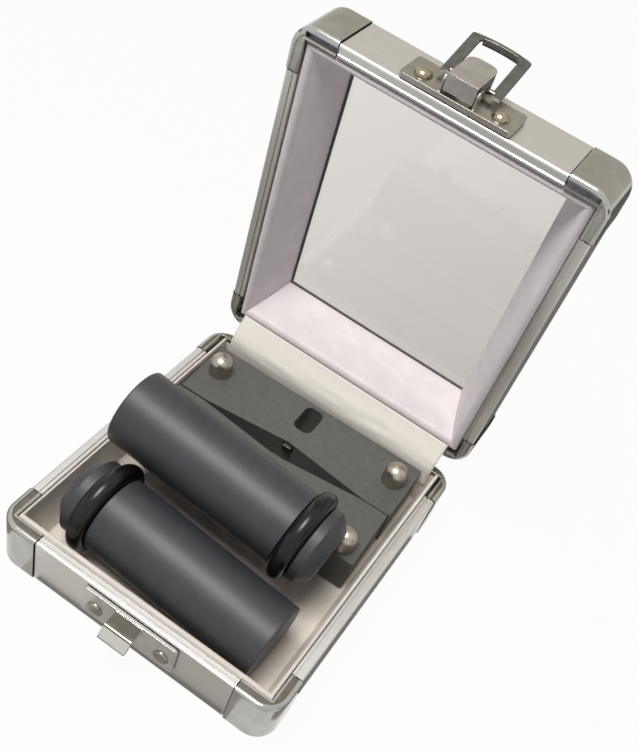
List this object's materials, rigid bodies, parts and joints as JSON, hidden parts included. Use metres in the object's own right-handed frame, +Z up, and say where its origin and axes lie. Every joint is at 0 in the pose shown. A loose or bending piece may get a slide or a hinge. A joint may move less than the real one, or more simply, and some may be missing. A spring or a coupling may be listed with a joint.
{
  "type": "tube testing kit in a case",
  "caption": "Small aluminium case with a clear hinged lid and a toggle latch, holding O-ring sealing plugs and notched jaw plates for testing tubes.",
  "frame": {"origin": "centre of the case's flat underside", "axes": "+X to the right along the latch edge, +Y from the latch edge to the hinge, +Z up"},
  "size_m": [0.101, 0.1504, 0.1443],
  "materials": {
    "satin_aluminium": "satin brushed rails",
    "plated_casting": "satin chrome plate",
    "black_sheet": "matte",
    "cream_lining": "short pile cloth",
    "white_lining": "short pile cloth over foam",
    "clear_acrylic": "clear polished",
    "hinge_steel": "plated sheet",
    "nickel_sheet": "nickel plate",
    "rivet_nickel": "nickel plate",
    "grey_jaw_plastic": "machined matte",
    "nickel_peg": "turned and plated",
    "dark_grey_plug": "turned satin",
    "black_rubber": "smooth"
  },
  "bodies": {
    "base": {"base_rail_front": "satin_aluminium", "base_rail_back": "satin_aluminium", "base_rail_left": "satin_aluminium", "base_rail_right": "satin_aluminium", "base_corner_front_left": "plated_casting", "base_corner_front_right": "plated_casting", "base_corner_back_left": "plated_casting", "base_corner_back_right": "plated_casting", "base_bottom_pan": "black_sheet", "base_floor_lining": "cream_lining", "base_lining_front": "cream_lining", "base_lining_back": "cream_lining", "base_lining_left": "cream_lining", "base_lining_right": "cream_lining", "keeper_plate": "nickel_sheet", "keeper_rivet_left": "rivet_nickel", "keeper_rivet_right": "rivet_nickel", "hinge_leaf_base": "hinge_steel", "hinge_rivet_base_1": "hinge_steel", "hinge_rivet_base_2": "hinge_steel", "hinge_rivet_base_3": "hinge_steel", "hinge_pin": "hinge_steel", "hinge_cover_strip": "cream_lining"},
    "lid": {"lid_rail_front": "satin_aluminium", "lid_rail_back": "satin_aluminium", "lid_rail_left": "satin_aluminium", "lid_rail_right": "satin_aluminium", "lid_corner_front_left": "plated_casting", "lid_corner_front_right": "plated_casting", "lid_corner_back_left": "plated_casting", "lid_corner_back_right": "plated_casting", "lid_window": "clear_acrylic", "lid_lining_front": "white_lining", "lid_lining_back": "white_lining", "lid_lining_left": "white_lining", "lid_lining_right": "white_lining", "hinge_leaf_lid": "hinge_steel", "hinge_rivet_lid_1": "hinge_steel", "hinge_rivet_lid_2": "hinge_steel", "hinge_rivet_lid_3": "hinge_steel", "latch_plate": "nickel_sheet", "latch_rivet_left": "rivet_nickel", "latch_rivet_right": "rivet_nickel", "latch_lever_pin": "nickel_sheet"},
    "lever": {"latch_lever": "nickel_sheet"},
    "bail": {"latch_bail": "nickel_sheet"},
    "jaw_1": {"jaw_1_plate": "grey_jaw_plastic", "jaw_1_peg_left": "nickel_peg", "jaw_1_peg_right": "nickel_peg", "jaw_1_contact_block": "nickel_peg"},
    "jaw_2": {"jaw_2_plate": "grey_jaw_plastic", "jaw_2_peg_left": "nickel_peg", "jaw_2_peg_right": "nickel_peg", "jaw_2_contact_block": "nickel_peg"},
    "plug_1": {"plug_1_body": "dark_grey_plug", "plug_1_o_ring": "black_rubber"},
    "plug_2": {"plug_2_body": "dark_grey_plug", "plug_2_o_ring": "black_rubber"}
  },
  "joints": [
    {"name": "lid_hinge", "type": "hinge", "parent": "base", "child": "lid", "pos_m": [0, 0.0596, 0.0191], "axis": [-1, 0, 0], "range_deg": [-70, 0], "deforming": ["hinge_cover_strip"]},
    {"name": "latch_lever_pivot", "type": "hinge", "parent": "lid", "child": "lever", "pos_m": [0, 0.06028, 0.13994], "axis": [-1, 0, 0], "range_deg": [-95, 0]},
    {"name": "latch_bail_pivot", "type": "hinge", "parent": "lever", "child": "bail", "pos_m": [0, 0.0674, 0.13907], "axis": [1, 0, 0], "range_deg": [-30, 150]},
    {"name": "jaw_1_lift", "type": "slide", "parent": "base", "child": "jaw_1", "axis": [0, 0, 1], "range_m": [0, 0.03]},
    {"name": "jaw_2_lift", "type": "slide", "parent": "base", "child": "jaw_2", "axis": [0, 0, 1], "range_m": [0, 0.03]},
    {"name": "plug_1_lift", "type": "slide", "parent": "jaw_2", "child": "plug_1", "axis": [0, 0, 1], "range_m": [0, 0.045]},
    {"name": "plug_2_slide", "type": "slide", "parent": "base", "child": "plug_2", "axis": [-0.9978, 0.0453, 0.0488], "range_m": [-0.005, 0.005]}
  ]
}
